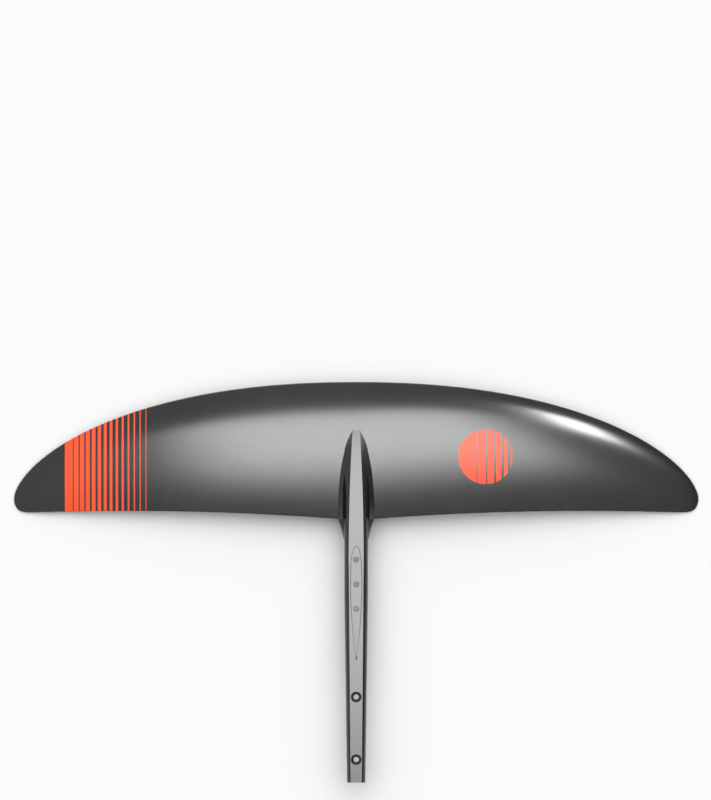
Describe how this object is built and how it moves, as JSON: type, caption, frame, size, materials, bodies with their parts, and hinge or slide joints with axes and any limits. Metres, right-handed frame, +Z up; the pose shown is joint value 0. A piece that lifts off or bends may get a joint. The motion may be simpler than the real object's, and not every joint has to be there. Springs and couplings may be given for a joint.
{
  "type": "hydrofoil front wing with fuselage",
  "caption": "Swept, gently drooping hydrofoil front wing moulded in one with a straight fuselage that has a mast seat and a square tail.",
  "frame": {"origin": "middle of the mast seat, on its flat floor, on the wing's plane of symmetry", "axes": "+X along the span to the right, +Y forward to the leading edge, +Z up out of the mast seat"},
  "size_m": [0.8896, 0.5196, 0.0516],
  "materials": {
    "gloss_carbon": "satin-gloss clear-coated carbon, near black, with orange painted stripes on the left tip and an orange disc on the right half",
    "bare_carbon": "uncoated carbon laminate",
    "fibre_filler": "resin-soaked fibre",
    "core_foam": "closed-cell structural foam",
    "solid_laminate": "solid carbon laminate, cut square",
    "steel_sleeve": "turned stainless steel",
    "black_cup": "black anodised metal"
  },
  "bodies": {
    "root": {"upper_skin": "gloss_carbon", "lower_skin": "gloss_carbon", "fuselage_top_shell": "gloss_carbon", "fuselage_bottom_shell": "gloss_carbon", "root_fairing_left": "gloss_carbon", "root_fairing_right": "gloss_carbon", "mast_seat_insert": "gloss_carbon", "main_spar_web": "bare_carbon", "upper_spar_cap": "bare_carbon", "lower_spar_cap": "bare_carbon", "leading_edge_filler": "fibre_filler", "front_core_left": "core_foam", "front_core_right": "core_foam", "rear_core_left": "core_foam", "rear_core_right": "core_foam", "fuselage_front_core": "core_foam", "fuselage_rear_core": "core_foam", "tip_block_left": "solid_laminate", "tip_block_right": "solid_laminate", "mast_block": "solid_laminate", "tail_block": "solid_laminate", "mast_bolt_sleeve_front": "steel_sleeve", "mast_bolt_sleeve_middle": "steel_sleeve", "mast_bolt_sleeve_rear": "steel_sleeve", "tail_bolt_cup_front": "black_cup", "tail_bolt_cup_rear": "black_cup"}
  },
  "joints": []
}
